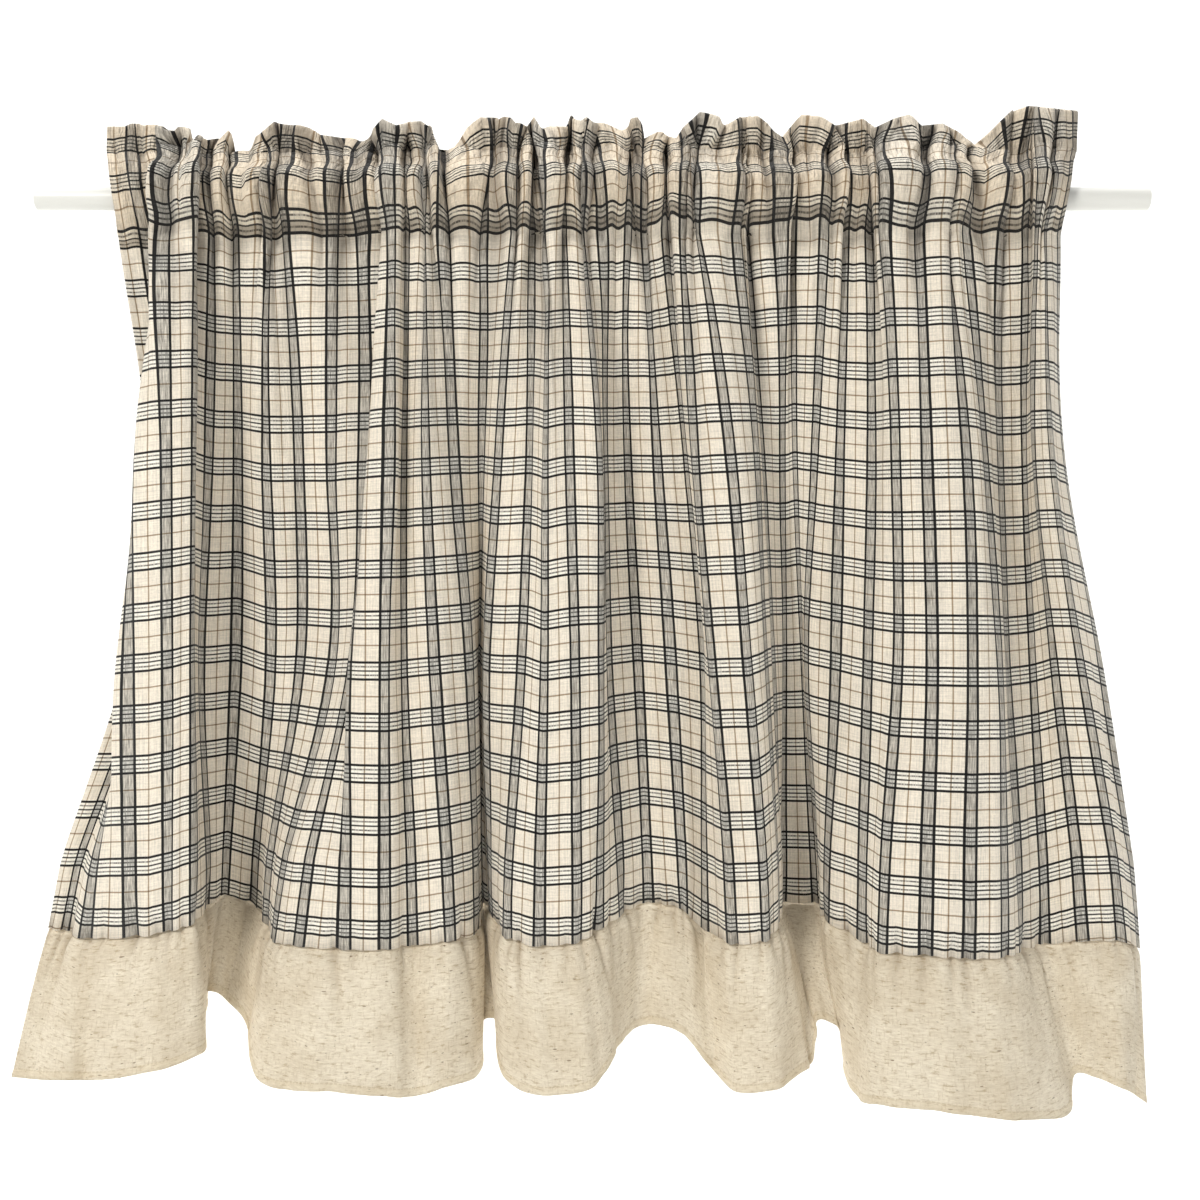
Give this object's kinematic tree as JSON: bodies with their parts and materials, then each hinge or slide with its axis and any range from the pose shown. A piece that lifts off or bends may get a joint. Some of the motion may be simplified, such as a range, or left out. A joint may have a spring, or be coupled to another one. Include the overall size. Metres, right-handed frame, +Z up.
{
  "type": "rod pocket tier curtain on a rod",
  "caption": "Gathered plaid cotton tier curtain with a ruffled header, rod pocket and plain linen ruffle at the foot, on a straight round rod.",
  "frame": {"origin": "on the rod's axis, halfway along the rod", "axes": "+X along the rod to the right as seen from the front, +Z up, -Y towards the room, so the front of the curtain faces -Y"},
  "size_m": [0.7148, 0.0906, 0.6244],
  "materials": {
    "plaid_cotton": "matt yarn-dyed plain-weave cotton, cream ground with black, grey and tan checks",
    "oatmeal_linen": "matt slubby oatmeal linen-cotton plain weave with small dark flecks",
    "rod_paint": "satin off-white paint on a plain round tube"
  },
  "bodies": {
    "root": {"plaid_panel": "plaid_cotton", "hem_ruffle": "oatmeal_linen", "rod": "rod_paint"}
  },
  "joints": []
}
